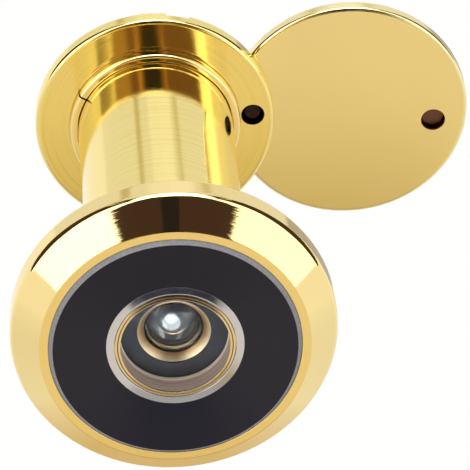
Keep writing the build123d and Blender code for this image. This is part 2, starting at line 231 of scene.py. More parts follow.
# %% [markdown]
# ## Holes and slots
#
# A few pieces are milled or drilled after turning. The cutter is a plain shape of the same size
# as the real tool's cut, and a Boolean modifier takes it away. The hole could be worked into the
# grid of points, but off the axis that is far more work. The modifier's result is kept as the
# piece's mesh, so that nothing is left live.

# %% Take cutters away from a piece
OVERSHOOT = 1.0


def carve(piece, cutters):
    """Replace the piece's mesh by what is left after each cutter is taken away."""
    for cutter in cutters:
        cut = piece.modifiers.new("cut", "BOOLEAN")
        cut.operation = "DIFFERENCE"
        cut.solver = "EXACT"
        cut.object = cutter
    bpy.context.view_layer.update()
    left = bpy.data.meshes.new_from_object(piece.evaluated_get(bpy.context.evaluated_depsgraph_get()))
    piece.modifiers.clear()
    piece.data = left
    smooth(left)
    for cutter in cutters:
        bpy.data.objects.remove(cutter)
    print(f"{piece.name} after cutting: {len(left.polygons)} faces")


def bar(name, length, width, low, high, angle):
    """Straight cutter through the axis: a box of this length and width, turned about Y by the
    angle from X towards Z, that runs from low to high along the barrel."""
    a = math.radians(angle)
    along, across = np.array([math.cos(a), 0, math.sin(a)]), np.array([-math.sin(a), 0, math.cos(a)])
    signs = np.array([[-1, -1], [1, -1], [1, 1], [-1, 1]])
    ring = signs[:, :1] * along * length / 2 + signs[:, 1:] * across * width / 2
    points = np.vstack([ring + [0, low, 0], ring + [0, high, 0]])
    faces = np.array([[0, 1, 2, 3], [7, 6, 5, 4], [0, 4, 5, 1],
                      [1, 5, 6, 2], [2, 6, 7, 3], [3, 7, 4, 0]])
    return mesh_object(name, points, [faces])


def drill(name, radius, low, high, centre):
    """Round cutter: a cylinder of this radius from low to high along the barrel."""
    return turned(name, np.array([[0, low], [radius, low], [radius, high], [0, high]], float),
                  centre, closed=False, segments=COARSE_SEGMENTS)


# %% [markdown]
# ## Node trees
#
# Every finish is worked out from the place on the piece itself, so it needs no picture and stays
# with the piece when it moves. The trees could be drawn by hand in the Shader Editor. Written
# down they can be repeated, and these helpers keep them short: each makes one kind of node.

# %% Small helpers for node trees
def new_material(name):
    """A node material, with its tree and its Principled shader."""
    made = bpy.data.materials.new(name)
    made.use_nodes = True
    tree = made.node_tree
    return made, tree, tree.nodes["Principled BSDF"]


def feed(tree, value, socket):
    """Give an input its value: a number, a colour of three numbers, or another node's output."""
    if isinstance(value, tuple):
        socket.default_value = (*value, 1)
    elif isinstance(value, (int, float)):
        socket.default_value = value
    else:
        tree.links.new(value, socket)


def set_inputs(tree, made, **values):
    """Feed a node's inputs by name, with _ for a space."""
    for key, value in values.items():
        feed(tree, value, made.inputs[key.replace("_", " ")])
    return made


def node(tree, kind, **settings):
    """A new node with its properties set by name. Names that aren't properties are inputs."""
    made = tree.nodes.new(kind)
    for key in [key for key in settings if hasattr(made, key)]:
        setattr(made, key, settings.pop(key))
    return set_inputs(tree, made, **settings)


def maths(tree, operation, first, second=None):
    """A Math node's output. Its inputs may be numbers or other outputs."""
    made = node(tree, "ShaderNodeMath", operation=operation)
    feed(tree, first, made.inputs[0])
    if second is not None:
        feed(tree, second, made.inputs[1])
    return made.outputs[0]


def times(tree, product, *factors):
    """The product of some numbers or outputs."""
    for factor in factors:
        product = maths(tree, "MULTIPLY", product, factor)
    return product


def spread(tree, value, low, high, to_low, to_high, kind="LINEAR"):
    """The value stretched from one range to another and kept inside it."""
    made = node(tree, "ShaderNodeMapRange", interpolation_type=kind)
    for socket, part in zip(made.inputs, (value, low, high, to_low, to_high)):
        feed(tree, part, socket)
    return made.outputs[0]


def band(tree, value, low, high, soft):
    """1 while the value is between low and high, falling to 0 over the soft width outside."""
    rise = spread(tree, value, low - soft, low, 0, 1, "SMOOTHSTEP")
    fall = spread(tree, value, high, high + soft, 1, 0, "SMOOTHSTEP")
    return times(tree, rise, fall)


def lay_on(tree, share, below, above):
    """The colour above laid over the colour below by a share. Each may be numbers or an output."""
    over = node(tree, "ShaderNodeMix", data_type="RGBA")
    for slot, part in ((0, share), (6, below), (7, above)):
        feed(tree, part, over.inputs[slot])
    return over.outputs[2]


# %% [markdown]
# ## Where a point is, and how rough
#
# Turning leaves marks that run round the axis. Noise on plain x, y and z would give blotches, but
# noise on the distance from the axis gives rings. So the place is first told as the lathe sees it.

# %% Places, noise and bumps
MOST_OF_NOISE = (0.3, 0.7)


def on_object(tree):
    """The shaded point in the object's own frame, in metres."""
    return tree.nodes.new("ShaderNodeTexCoord").outputs["Object"]


def parts_of(tree, place):
    """The three parts of a place or a direction."""
    return node(tree, "ShaderNodeSeparateXYZ", Vector=place).outputs


def object_millimetres(tree):
    """The three coordinates of the shaded point in the object's own frame, in millimetres."""
    return [times(tree, part, 1 / MM) for part in parts_of(tree, on_object(tree))]


def reach(tree, first, second):
    """How far two offsets at right angles reach: the square root of the sum of their squares."""
    squares = maths(tree, "ADD", times(tree, first, first), times(tree, second, second))
    return maths(tree, "SQRT", squares)


def turning_coordinates(tree, centre=AXIS):
    """The shaded point as a lathe sees it, in millimetres: its distance from the turning axis, its
    place along it, and its two offsets from it."""
    x, y, z = object_millimetres(tree)
    x, z = maths(tree, "SUBTRACT", x, centre[0]), maths(tree, "SUBTRACT", z, centre[1])
    return reach(tree, x, z), y, (x, z)


def noise(tree, place, scale, detail, roughness=0.5):
    """Noise from 0 to 1 by place, with the scale in waves per unit."""
    return node(tree, "ShaderNodeTexNoise", Vector=place, Scale=scale, Detail=detail,
                Roughness=roughness).outputs[0]


def ring_noise(tree, detail, roughness, *parts):
    """Noise on other numbers than a place. It changes only where one of those numbers does."""
    lines = tree.nodes.new("ShaderNodeCombineXYZ")
    for part, socket in zip(parts, lines.inputs):
        feed(tree, part, socket)
    return noise(tree, lines.outputs[0], 1.0, detail, roughness)


def bump(tree, shader, height, depth, strength=1.0):
    """Bend the surface as if a height from 0 to 1 stood this many millimetres deep in it."""
    made = node(tree, "ShaderNodeBump", Height=height, Strength=strength, Distance=depth * MM)
    set_inputs(tree, shader, Normal=made.outputs[0])


# %% [markdown]
# ## Gilding
#
# The gilding is a mirror, so what we see in it is mostly the studio. What makes it metal and not
# a perfect computer mirror is small: the turning marks that run round the axis, a slow change
# of polish, and a colour that is a little deeper in some places. A picture of scratches could
# give that, but it would stretch on the curves. So all the golds are one family of nodes.

# %% Gilding
MARK_DETAIL, MARK_ROUGHNESS, MARKS_ROUND = 3.0, 0.65, 0.05
CLOUD_SCALE, CLOUD_RANGE, POLISH_CHANGE = 110.0, (0.25, 0.75), (0.8, 1.25)
GRAIN_SCALE = 9000.0
DEEP_MARKS, SHADE_SHARE = (0.30, 0.48), 0.72
PATCH_SOFT = 0.02


def gilding(name, gold, deep_gold, roughness, mark_depth, mark_scale, centre=AXIS, grain=0.0,
            cloud=0.35, ring_shade=0.0, patches=()):
    """Gilt brass. Fine marks run round the turning axis: a noise that changes fast with radius and
    place, and hardly at all with angle, bends the surface. A slow noise changes the polish and
    the depth of the colour. Grain adds the even tooth of a satin finish. A ring shade darkens the
    deeper marks. A patch is a zone by radius and place round some centre, such as a bore, that has
    another colour and roughness."""
    made, tree, shader = new_material(name)
    radius, along, (x, z) = turning_coordinates(tree, centre)
    little_round = times(tree, maths(tree, "ADD", x, z), MARKS_ROUND)
    marks = ring_noise(tree, MARK_DETAIL, MARK_ROUGHNESS, times(tree, radius, mark_scale),
                       times(tree, along, mark_scale), little_round)
    slow = noise(tree, on_object(tree), CLOUD_SCALE, 2.0)
    polish = spread(tree, slow, *MOST_OF_NOISE, *(roughness * share for share in POLISH_CHANGE))
    colour = lay_on(tree, spread(tree, slow, *CLOUD_RANGE, cloud, 0.0), gold, deep_gold)
    if ring_shade:
        deep_marks = spread(tree, marks, *DEEP_MARKS, ring_shade, 0.0)
        colour = lay_on(tree, deep_marks, colour, tuple(SHADE_SHARE * part for part in deep_gold))
    for middle, radii, places, patch_colour, patch_roughness in patches:
        distance, along, _ = turning_coordinates(tree, middle)
        share = times(tree, band(tree, distance, *radii, PATCH_SOFT),
                      band(tree, along, *places, PATCH_SOFT))
        colour = lay_on(tree, share, colour, patch_colour)
        change = maths(tree, "SUBTRACT", patch_roughness, polish)
        polish = maths(tree, "ADD", polish, times(tree, share, change))
    set_inputs(tree, shader, Base_Color=colour, Roughness=polish, Metallic=1.0)
    height = marks
    if grain:
        tooth = noise(tree, on_object(tree), GRAIN_SCALE, 2.0, 0.6)
        height = maths(tree, "ADD", marks, times(tree, tooth, grain))
    bump(tree, shader, height, mark_depth)
    return made


# %% [markdown]
# ## The golds of this peephole
#
# Each gilt piece has its own colour and polish. Inside the bores the gilding is dull or blackened,
# the walls of the two small recesses are painted near black as shade, and the stud's shank in its
# hole is painted a darker brown. Those walls could be meshes of their own, but they are the same
# brass, so patches change the finish there. The thin ones are rings in the lens opening, the darker
# ones painted shade and the pale one a painted highlight, and the hub's groove, whose floor is
# painted dark as shade.

# %% Gold finishes, with patches as (centre, radii, places, colour, roughness)
BEZEL_GOLD, BEZEL_DEEP = (0.96, 0.775, 0.355), (0.93, 0.69, 0.26)
SLEEVE_GOLD, SLEEVE_DEEP = (0.96, 0.79, 0.30), (0.93, 0.72, 0.22)
COVER_GOLD, COVER_DEEP = (0.96, 0.82, 0.42), (0.94, 0.78, 0.36)
OPENING_WALL = (4.5, 4.76)
BORE_BLACK, BORE_ROUGHNESS = (0.012, 0.012, 0.014), 0.7

gilt_mirror = gilding(
    "gilt_mirror", BEZEL_GOLD, BEZEL_DEEP, roughness=0.05, mark_depth=0.0042, mark_scale=4.5, patches=[
        (AXIS, OPENING_WALL, (-4.26, -2.50), (0.80, 0.66, 0.58), 0.62),
        # Thin rings on the bore wall: the darker ones are painted shade, the pale one a painted
        # highlight.
        (AXIS, OPENING_WALL, (-3.97, -3.95), (0.52, 0.36, 0.25), 0.5),
        (AXIS, OPENING_WALL, (-3.55, -3.51), (0.60, 0.44, 0.33), 0.5),
        (AXIS, OPENING_WALL, (-3.24, -3.22), (0.95, 0.86, 0.74), 0.4),
        (AXIS, OPENING_WALL, (-3.00, -2.97), (0.50, 0.36, 0.28), 0.5),
        (AXIS, (4.66, 5.17), (-4.42, -4.20), (0.84, 0.68, 0.43), 0.08),
        # The hub groove's floor is painted dark brown: painted shade.
        (AXIS, (4.88, 4.94), (-4.35, -4.20), (0.30, 0.16, 0.06), 0.4),
        (AXIS, (4.0, 5.5), (-2.4, 24.6), BORE_BLACK, BORE_ROUGHNESS),
    ])
gilt_barrel = gilding(
    "gilt_barrel", SLEEVE_GOLD, SLEEVE_DEEP, roughness=0.08, mark_depth=0.0034, mark_scale=6.0,
    ring_shade=0.35, patches=[
        # Painted shade: the walls of the rivet's recess and hole are near black.
        (PIVOT, (-1.0, 1.08), (32.06, 33.2), (0.035, 0.012, 0.015), 0.35),
        (AXIS, (3.5, 6.1), (4.8, 31.98), BORE_BLACK, BORE_ROUGHNESS),
    ])
gilt_knob = gilding(
    "gilt_knob", SLEEVE_GOLD, SLEEVE_DEEP, roughness=0.07, mark_depth=0.0012, mark_scale=7.0,
    centre=STUD, patches=[(STUD, (-1.0, 1.07), (33.0, 34.9), (0.20, 0.095, 0.070), 0.4)])
gilt_satin = gilding(
    "gilt_satin", COVER_GOLD, COVER_DEEP, roughness=0.13, mark_depth=0.0010, mark_scale=3.0,
    centre=COVER_CENTRE, grain=0.8, cloud=0.25,
    # Painted shade: the wall of the stud's hole in the cover is near black.
    patches=[(STUD, (-1.0, 1.12), (33.84, 34.95), (0.09, 0.034, 0.026), 0.4)])
turned_gilt = gilding(
    "turned_gilt", BEZEL_GOLD, BEZEL_DEEP, roughness=0.16, mark_depth=0.0030, mark_scale=5.0)
print("gold finishes made")

# %% [markdown]
# ## Black glaze
#
# The ring in the bezel is glazed black, and its edges were ground afterwards. They could have a
# material each, which would end in a hard line. Zones by radius keep it all one finish with
# soft borders, as on the real ring.

# %% Black glaze with ground edges
GLAZE_BLACK, GLAZE_INDEX = (0.0112, 0.0112, 0.0215), 1.36
CHAMFER_GREY, LAND_SILVER = (0.74, 0.74, 0.76), (0.68, 0.72, 0.92)
FROST_SCALE, FROST_DEPTH, FROST_COVER = 5000.0, 0.001, (0.25, 0.40)
SPECK_SCALE, SHEEN = 900.0, (0.14, 0.22)
CHAMFER_DULLER, LAND_BRIGHTER = 0.4, 0.08
ZONE_INSET, ZONE_SOFT, BEYOND_RING = 0.02, 0.03, 0.2


def black_glaze():
    """Black glazed ring: a soft sheen over near black. The land round the hole is ground and
    silvered, so it mirrors the table at the sides and below, and the dark front at the top. The
    outer chamfer is only dulled to grey."""
    made, tree, shader = new_material("black_glaze")
    radius, _, _ = turning_coordinates(tree)
    land = band(tree, radius, FACE_RING_HOLE - BEYOND_RING, LAND_EDGE_RADIUS - ZONE_INSET, ZONE_SOFT)
    outer = band(tree, radius, FACE_RING_RADIUS - FACE_RING_CHAMFER + ZONE_INSET,
                 FACE_RING_RADIUS + BEYOND_RING, ZONE_SOFT)
    frost = noise(tree, on_object(tree), FROST_SCALE, 4.0, 0.7)
    patchy = spread(tree, frost, *MOST_OF_NOISE, *FROST_COVER)
    grey = lay_on(tree, times(tree, outer, patchy), GLAZE_BLACK, CHAMFER_GREY)
    speck = noise(tree, on_object(tree), SPECK_SCALE, 5.0, 0.6)
    sheen = spread(tree, speck, *MOST_OF_NOISE, *SHEEN)
    dull = maths(tree, "ADD", sheen, times(tree, outer, CHAMFER_DULLER))
    dull = maths(tree, "SUBTRACT", dull, times(tree, land, LAND_BRIGHTER))
    set_inputs(tree, shader, Base_Color=lay_on(tree, land, grey, LAND_SILVER), Metallic=land,
               Roughness=dull, IOR=GLAZE_INDEX)
    bump(tree, shader, frost, FROST_DEPTH, strength=0.5)
    return made


glaze = black_glaze()
print("black glaze made, with its land inside radius", LAND_EDGE_RADIUS)

# %% [markdown]
# ## Optical glass
#
# The lenses are clear, with ground edges, and the coat on some of them keeps reflections low. The
# coat could be a thin film, but a tint on what the surface mirrors is simpler and gives each
# glass its own strength: near white is bare glass, and dark blue is well coated.

# %% Glasses
CLEAR, GROUND_GREY, PALE_GROUND_AND_HIGHLIGHT = (0.97, 0.985, 0.99), (0.10, 0.105, 0.11), (0.86, 0.80, 0.66)
DARK_COAT, NO_COAT = (0.03, 0.045, 0.07), (0.90, 0.96, 1.0)
CROWN_INDEX, FLINT_INDEX = 1.52, 1.78
BEYOND_EDGE, EDGE_SOFT, GROUND_ROUGHNESS = 9.0, 0.02, 0.5
WIPE_SCALE, WIPE_RANGE, SMEAR = 600.0, (0.4, 0.8), (0.0, 0.02)


def optical_glass(name, index, coat, edge_radius=None, edge_colour=GROUND_GREY):
    """Clear optical glass, a little smeared where it was wiped. The coat is the colour of what its
    surfaces mirror. Beyond the edge radius, if there is one, it is ground and lets no light pass."""
    made, tree, shader = new_material(name)
    smear = spread(tree, noise(tree, on_object(tree), WIPE_SCALE, 3.0), *WIPE_RANGE, *SMEAR)
    colour, clearness, roughness = CLEAR, 1.0, smear
    if edge_radius is not None:
        radius, _, _ = turning_coordinates(tree)
        ground = band(tree, radius, edge_radius, BEYOND_EDGE, EDGE_SOFT)
        colour = lay_on(tree, ground, CLEAR, edge_colour)
        clearness = maths(tree, "SUBTRACT", 1.0, ground)
        roughness = maths(tree, "ADD", smear, times(tree, ground, GROUND_ROUGHNESS))
    set_inputs(tree, shader, IOR=index, Specular_Tint=coat, Base_Color=colour,
               Transmission_Weight=clearness, Roughness=roughness)
    return made


crown_glass = optical_glass("crown_glass", CROWN_INDEX, DARK_COAT)
# The objective's ground rim is pale cream: ground glass, and a painted highlight along the rim.
rimmed_glass = optical_glass("rimmed_glass", CROWN_INDEX, DARK_COAT, edge_radius=4.62,
                             edge_colour=PALE_GROUND_AND_HIGHLIGHT)
flint_glass = optical_glass("flint_glass", FLINT_INDEX, NO_COAT, edge_radius=3.84)
print("glasses made, with indices", CROWN_INDEX, "and", FLINT_INDEX)

# %% [markdown]
# ## Blackening and steels
#
# Stray light would spoil the view, so washers and spacers are lacquered black. The rivet and its
# spring washer are steel, with marks round the pivot. Plain colours would nearly do at this
# size, but dust and marks keep the dark pieces from looking like holes in the picture.

# %% Black lacquer and two steels
LACQUER_BLACK, DUST_GREY = (0.008, 0.0095, 0.013), (0.036, 0.042, 0.056)
DUST_SCALE, STEEL_MARK_SCALE = 1500.0, 14.0


def blackening():
    """Matte black lacquer on the washers and spacers, with a dusty unevenness."""
    made, tree, shader = new_material("blackening")
    dust = noise(tree, on_object(tree), DUST_SCALE, 5.0)
    set_inputs(tree, shader, Base_Color=lay_on(tree, dust, LACQUER_BLACK, DUST_GREY),
               Roughness=spread(tree, dust, *MOST_OF_NOISE, 0.4, 0.6), Specular_IOR_Level=0.25)
    return made


def steel_finish(name, dark, light, smoothest, roughest):
    """Steel with fine marks round the pivot, from a dark to a light colour."""
    made, tree, shader = new_material(name)
    radius, _, _ = turning_coordinates(tree, PIVOT)
    marks = ring_noise(tree, 4.0, 0.5, times(tree, radius, STEEL_MARK_SCALE))
    set_inputs(tree, shader, Base_Color=lay_on(tree, marks, dark, light), Metallic=1.0,
               Roughness=spread(tree, marks, *MOST_OF_NOISE, smoothest, roughest))
    return made


black_lacquer = blackening()
spring_steel = steel_finish("spring_steel", (0.46, 0.45, 0.43), (0.72, 0.70, 0.67), 0.20, 0.38)
browned_steel = steel_finish("browned_steel", (0.020, 0.011, 0.012), (0.055, 0.032, 0.030), 0.22, 0.36)
print("lacquer and steels made")

# %% [markdown]
# ## The gilt cone
#
# The spacer behind the objective has a gilt cone, which is the inner gold ring of the photograph,
# and dull dark metal behind it. The two could be separate pieces, but the spacer is one solid of
# the model, so radius and place tell the one finish from the other.

# %% Finish of the front spacer
CONE_RADII, CONE_PLACES = (2.62, 3.16, 0.08), (-1.8, -1.12, 0.05)
# The darker inner gilt of the cone is painted shade.
CONE_SHADED, CONE_BRIGHT, CONE_SHADE_FADE = (0.45, 0.27, 0.11), (0.96, 0.82, 0.55), (2.7, 3.1)
GRIT_DARK, GRIT_LIGHT, GRIT_SCALE = (0.015, 0.016, 0.018), (0.05, 0.052, 0.056), 1800.0
DULL_ROUGHNESS, CONE_ROUGHNESS = 0.5, 0.42


def spacer_finish():
    """Gilt on the cone, painted darker towards the dome as shade, and gritty dark metal everywhere else.
    """
    made, tree, shader = new_material("spacer_finish")
    radius, along, _ = turning_coordinates(tree)
    cone = times(tree, band(tree, radius, *CONE_RADII), band(tree, along, *CONE_PLACES))
    # Painted shade: the gilt darkens from the cone's outer edge in towards the dome.
    gilt = lay_on(tree, spread(tree, radius, *CONE_SHADE_FADE, 0.0, 1.0), CONE_SHADED, CONE_BRIGHT)
    dull = lay_on(tree, noise(tree, on_object(tree), GRIT_SCALE, 4.0), GRIT_DARK, GRIT_LIGHT)
    set_inputs(tree, shader, Base_Color=lay_on(tree, cone, dull, gilt), Metallic=1.0,
               Roughness=spread(tree, cone, 0.0, 1.0, DULL_ROUGHNESS, CONE_ROUGHNESS))
    return made


spacer_metal = spacer_finish()
print("cone gilt between radii", CONE_RADII[:2])

# %% [markdown]
# ## Dress the hidden pieces
#
# The spacers, the third lens and the retaining rings are seen only through glass, and the spring
# washer lies between flange and cover. New meshes would add nothing to the model's own solids
# there, so these pieces only need finishes.

# %% Finishes for the pieces that keep their model
def finish_with(piece, material):
    """Give a piece one material."""
    piece.data.materials.clear()
    piece.data.materials.append(material)


FINISHES = {
    "aperture_washer": (black_lacquer, "blackened"), "middle_spacer": (black_lacquer, "blackened"),
    "field_stop": (black_lacquer, "blackened"), "third_lens": (crown_glass, "lens_glass"),
    "lens_retaining_ring": (turned_gilt, "turned_gilt"),
    "eyepiece_retaining_ring": (turned_gilt, "turned_gilt"),
    "front_spacer": (spacer_metal, "turned_gilt"),
    "pivot_spring_washer": (spring_steel, "spring_steel"),
}
for name, (material, slot) in FINISHES.items():
    finish_with(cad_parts[name], material)
print("finished as modelled:", sorted(FINISHES))

# %% [markdown]
# ## The bezel and its threaded tube
#
# This is one turned brass piece. Its outline starts at the lip round the lens, goes over the
# recess for the black ring, down the mirror bevel and the rim, and back along the tube. The
# thread could be wound by a Screw modifier, but as a wave on the tube's radius it can fade out at
# its ends: the wave's phase is the place along the tube over the pitch plus the share of a turn,
# which winds a right-handed helix.

# %% The tube's thread
TUBE_RADIUS, PILOT_END, TUBE_END, TUBE_CHAMFER = 5.95, 2.5, 24.5, 0.5
THREAD_PITCH, THREAD_DEPTH, THREAD_RUNOUT = 1.0, 0.5, 0.8
THREAD_START, THREAD_STOP = PILOT_END + 0.5, TUBE_END - 0.6
THREAD_STEEPNESS, THREAD_FLAT = 1.3, 0.15
THREAD_ROWS_PER_TURN = 8


def screw_thread(radius, spot, angle):
    """Radius less the thread's groove. The wave is a triangle with a flat crest and root, and it
    fades out over the run-out at both ends."""
    phase = (spot / THREAD_PITCH + angle / (2 * math.pi)) % 1.0
    wave = np.clip(np.abs(2 * phase - 1) * THREAD_STEEPNESS - THREAD_FLAT, 0, 1)
    fade_in = np.clip((spot - THREAD_START) / THREAD_RUNOUT, 0, 1)
    fade_out = np.clip((THREAD_STOP - spot) / THREAD_RUNOUT, 0, 1)
    on_tube = np.abs(radius - TUBE_RADIUS) < 1e-6
    return radius - np.where(on_tube, THREAD_DEPTH * wave * fade_in * fade_out, 0.0)


first_row, last_row = PILOT_END + 0.2, TUBE_END - TUBE_CHAMFER
row_count = int((last_row - first_row) * THREAD_ROWS_PER_TURN / THREAD_PITCH)
tube_rows = np.linspace(first_row, last_row, row_count)
print(row_count, "rows of points along the thread")

# %% [markdown]
# ## The bezel's outline
#
# A fine groove runs round the hub between the lip and the black ring. It could be a bump in the
# material, but it shows as a dark line from every side, so it is three corners of the outline.
# Its floor is also painted dark brown in the gilding as painted shade.

# %% Bezel and tube
HUB_FRONT, LIP_RADIUS, HUB_RADIUS, HUB_SLOPE = -4.38, 4.68, 5.15, 0.062
HUB_GROOVE = ((4.875, 0.026), (4.91, 0.09), (4.945, 0.036))
FLAT_RING, BEZEL_SHOULDER = -4.5, -2.3
RECESS_RADIUS, BEVEL_RADIUS, BEZEL_RADIUS = 10.82, 11.58, 14.0
LENS_BORE, LIP_BACK = 4.9, -2.55


def dress(piece, node_name, body, material):
    """Let a new surface stand for one piece of the model and ride with its body."""
    finish_with(piece, material)
    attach(piece, body)
    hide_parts(node_name)


groove_in, groove_floor, groove_out = [(radius, HUB_FRONT + depth) for radius, depth in HUB_GROOVE]
bezel_outline = outline([
    (LIP_RADIUS, HUB_FRONT, 0.02), (*groove_in, 0.01), (*groove_floor, 0), (*groove_out, 0.01),
    (HUB_RADIUS, HUB_FRONT + HUB_SLOPE, 0.02), (HUB_RADIUS, RECESS_FLOOR, 0),
    (RECESS_RADIUS, RECESS_FLOOR, 0), (RECESS_RADIUS, FLAT_RING, 0.03), (BEVEL_RADIUS, FLAT_RING, 0.1),
    (BEZEL_RADIUS, BEZEL_SHOULDER, 0.8), (BEZEL_RADIUS, 0, 0.35), (BARREL_RADIUS, 0, 0.05),
    (BARREL_RADIUS, PILOT_END, 0.2), (TUBE_RADIUS, PILOT_END, 0.05),
])
tube_outline = np.stack([np.full(row_count, TUBE_RADIUS), tube_rows], 1)
bore_outline = np.array([
    [TUBE_RADIUS - TUBE_CHAMFER, TUBE_END], [LENS_BORE, TUBE_END], [LENS_BORE, LIP_BACK],
    [LIP_RADIUS, LIP_BACK],
])
bezel = turned("bezel_and_tube", np.vstack([bezel_outline, tube_outline, bore_outline]),
               relief=screw_thread)
dress(bezel, "outdoor_housing", "outdoor_half", gilt_mirror)

# %% [markdown]
# ## The black ring
#
# The ring lies in the bezel's recess: a ground land round the hole, a face that rises outwards,
# and a chamfer. A flat washer with a bevel would be quicker, but its face would mirror one spot
# of the studio, and the slope is what gives the real ring its even darkness.

# %% Black ring in the bezel
FACE, LAND_EDGE, LAND_INNER = -4.8, -4.27, -4.35
ring_outline = outline([
    (LAND_EDGE_RADIUS, LAND_EDGE, 0.02), (FACE_RING_RADIUS - FACE_RING_CHAMFER, FACE, 0.02),
    (FACE_RING_RADIUS, FACE + FACE_RING_CHAMFER, 0.03), (FACE_RING_RADIUS, RECESS_FLOOR, 0),
    (FACE_RING_HOLE, RECESS_FLOOR, 0), (FACE_RING_HOLE, LAND_INNER, 0.04),
])
dress(turned("black_ring", ring_outline), "face_ring", "outdoor_half", glaze)

# %% [markdown]
# ## Lenses
#
# A lens surface is a cap of a sphere: at a distance h from the axis it stands back from its
# middle by R - sqrt(R^2 - h^2). A lens could be cut where two spheres cross, but a turned outline
# has clean rims and closed poles: the front cap, the ground edge and the back cap. The first lens
# is the objective. It lies behind the lip, slightly domed in front and hollow behind.

# %% Lens surfaces, and the objective, with caps as (radius of the sphere, width)
CAP_STEPS = 20
LENS_GAP = 0.02
OBJECTIVE_FRONT, OBJECTIVE_BACK = LIP_BACK + LENS_GAP, LIP_BACK + 0.62
OBJECTIVE_RADIUS, OBJECTIVE_CHAMFER = 4.88, 0.06
OBJECTIVE_DOMED, OBJECTIVE_HOLLOW = (40.0, 4.63), (25.0, 4.28)


def cap(surface_radius, width, apex, toward, outwards=True):
    """Cap of a sphere from the axis out to this width, or back again. It leaves the apex by
    R - sqrt(R^2 - h^2) in the given direction along the barrel, 1 for indoors and -1 for outdoors."""
    h = np.linspace(0, width, CAP_STEPS)
    points = np.stack([h, apex + toward * (surface_radius - np.sqrt(surface_radius**2 - h**2))], 1)
    return points if outwards else points[::-1]


def cap_to_rim(surface_radius, width, rim, toward, outwards=True):
    """The same cap, placed so that its rim is at the place given."""
    sag = surface_radius - math.sqrt(surface_radius**2 - width**2)
    return cap(surface_radius, width, rim - toward * sag, toward, outwards)


def ground_edge(radius, front, back, chamfer):
    """The four corners of a lens's edge, with both rims chamfered."""
    return [[radius - chamfer, front], [radius, front + chamfer], [radius, back - chamfer],
            [radius - chamfer, back]]


objective = turned("objective_glass", np.vstack([
    cap_to_rim(*OBJECTIVE_DOMED, OBJECTIVE_FRONT, 1),
    ground_edge(OBJECTIVE_RADIUS, OBJECTIVE_FRONT, OBJECTIVE_BACK, OBJECTIVE_CHAMFER),
    cap_to_rim(*OBJECTIVE_HOLLOW, OBJECTIVE_BACK, 1, outwards=False),
]), closed=False)
dress(objective, "objective_lens", "outdoor_half", rimmed_glass)

# %% [markdown]
# ## The dome and the eyepiece
#
# The second lens is the dark dome in the middle of the photograph, deep in front and hollow
# behind, and its two places are read from the model, because other pieces hold it there. The
# eyepiece is round on both sides, like a small magnifier.

# %% Second lens and eyepiece
DOME_RADIUS, DOME_CHAMFER, HOLLOW_RADIUS = 3.9, 0.05, 2.36
DOME_SPHERE, DOME_HOLLOW = 4.5, (2.6, 2.3)
EYE_RADIUS, EYE_CHAMFER, EYE_THICKNESS = 5.98, 0.08, 1.5
EYE_FRONT_CAP, EYE_BACK_CAP = (12.0, 4.3), (10.0, 3.5)


def ends_of(node_name):
    """Where a piece of the model starts and ends along the barrel, in millimetres."""
    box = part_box(node_name)
    return box[0][1] / MM, box[1][1] / MM


dome_apex, dome_back = ends_of("second_lens")
dome = turned("second_glass", np.vstack([
    cap(DOME_SPHERE, DOME_RADIUS, dome_apex, 1),
    [[DOME_RADIUS, dome_back - DOME_CHAMFER], [DOME_RADIUS - DOME_CHAMFER, dome_back],
     [HOLLOW_RADIUS, dome_back]],
    cap_to_rim(*DOME_HOLLOW, dome_back, 1, outwards=False),
]), closed=False)
dress(dome, "second_lens", "outdoor_half", flint_glass)

eye_back = FLANGE_FRONT - LENS_GAP
eye_front = eye_back - EYE_THICKNESS
eyepiece = turned("eyepiece_glass", np.vstack([
    cap_to_rim(*EYE_FRONT_CAP, eye_front, 1),
    ground_edge(EYE_RADIUS, eye_front, eye_back, EYE_CHAMFER),
    cap_to_rim(*EYE_BACK_CAP, eye_back, -1, outwards=False),
]), closed=False)
dress(eyepiece, "eyepiece_lens", "indoor_half", crown_glass)

# %% [markdown]
# ## The indoor sleeve and flange
#
# The barrel and its flange are one turned piece too. After turning, a slot for a coin is milled
# across the room side, a recess is sunk for the tail of the pivot rivet, and a hole for its shank.
# Here these are cutters as well, because none of them goes round the axis.

# %% Sleeve and flange
SLEEVE_FRONT, SLEEVE_BORE, BORE_MOUTH = 5.0, 6.0, 0.25
FLANGE_BACK, SEAT_DEPTH, SEAT_ROOM = 33.5, 0.1, 0.05
EYE_OPENING, EYE_MOUTH, EYE_MOUTH_DEPTH = 3.6, 4.5, 0.9
SLOT_LENGTH, SLOT_WIDTH, SLOT_DEPTH, SLOT_ANGLE = 30.0, 2.1, 0.5, 80.5
RIVET_RECESS, RIVET_RECESS_DEPTH, RIVET_HOLE = 1.06, 0.9, 0.72

sleeve_outline = outline([
    (SLEEVE_BORE + BORE_MOUTH, SLEEVE_FRONT, 0), (BARREL_RADIUS, SLEEVE_FRONT, 0.25),
    (BARREL_RADIUS, FLANGE_FRONT + SEAT_DEPTH, 0),
    (COLLAR_RADIUS + SEAT_ROOM, FLANGE_FRONT + SEAT_DEPTH, 0),
    (COLLAR_RADIUS + SEAT_ROOM, FLANGE_FRONT, 0.02), (FLANGE_RADIUS, FLANGE_FRONT, 0.38),
    (FLANGE_RADIUS, FLANGE_BACK, 0.2), (EYE_MOUTH, FLANGE_BACK, 0.05),
    (EYE_OPENING, FLANGE_BACK - EYE_MOUTH_DEPTH, 0.03), (EYE_OPENING, FLANGE_FRONT, 0),
    (SLEEVE_BORE, FLANGE_FRONT, 0), (SLEEVE_BORE, SLEEVE_FRONT + BORE_MOUTH, 0),
])
sleeve = turned("sleeve_and_flange", sleeve_outline, segments=FINE_SEGMENTS)
